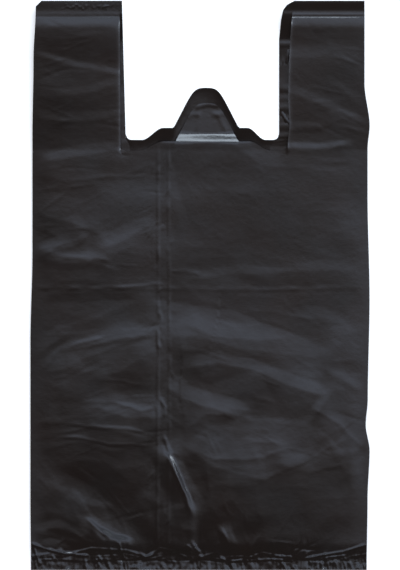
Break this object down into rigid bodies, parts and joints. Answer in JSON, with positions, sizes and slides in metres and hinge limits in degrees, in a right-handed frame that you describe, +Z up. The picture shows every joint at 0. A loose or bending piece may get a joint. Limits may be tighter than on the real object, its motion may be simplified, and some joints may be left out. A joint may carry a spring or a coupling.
{
  "type": "plastic carrier bag",
  "caption": "Black film carrier bag lying flat, with side gussets, a welded bottom, two loop handles and a tear-off tab in the mouth.",
  "frame": {"origin": "centre of the bag's footprint, on the surface that its back panel lies on", "axes": "+X across the bag, towards the right handle as seen from the front; +Y from the bottom seal to the handles; +Z up out of the front panel"},
  "size_m": [0.3, 0.504, 0.0133],
  "materials": {
    "film": "thin black blown film with a soft, slightly crinkled gloss"
  },
  "bodies": {
    "root": {"carrier_bag": "film"}
  },
  "joints": []
}
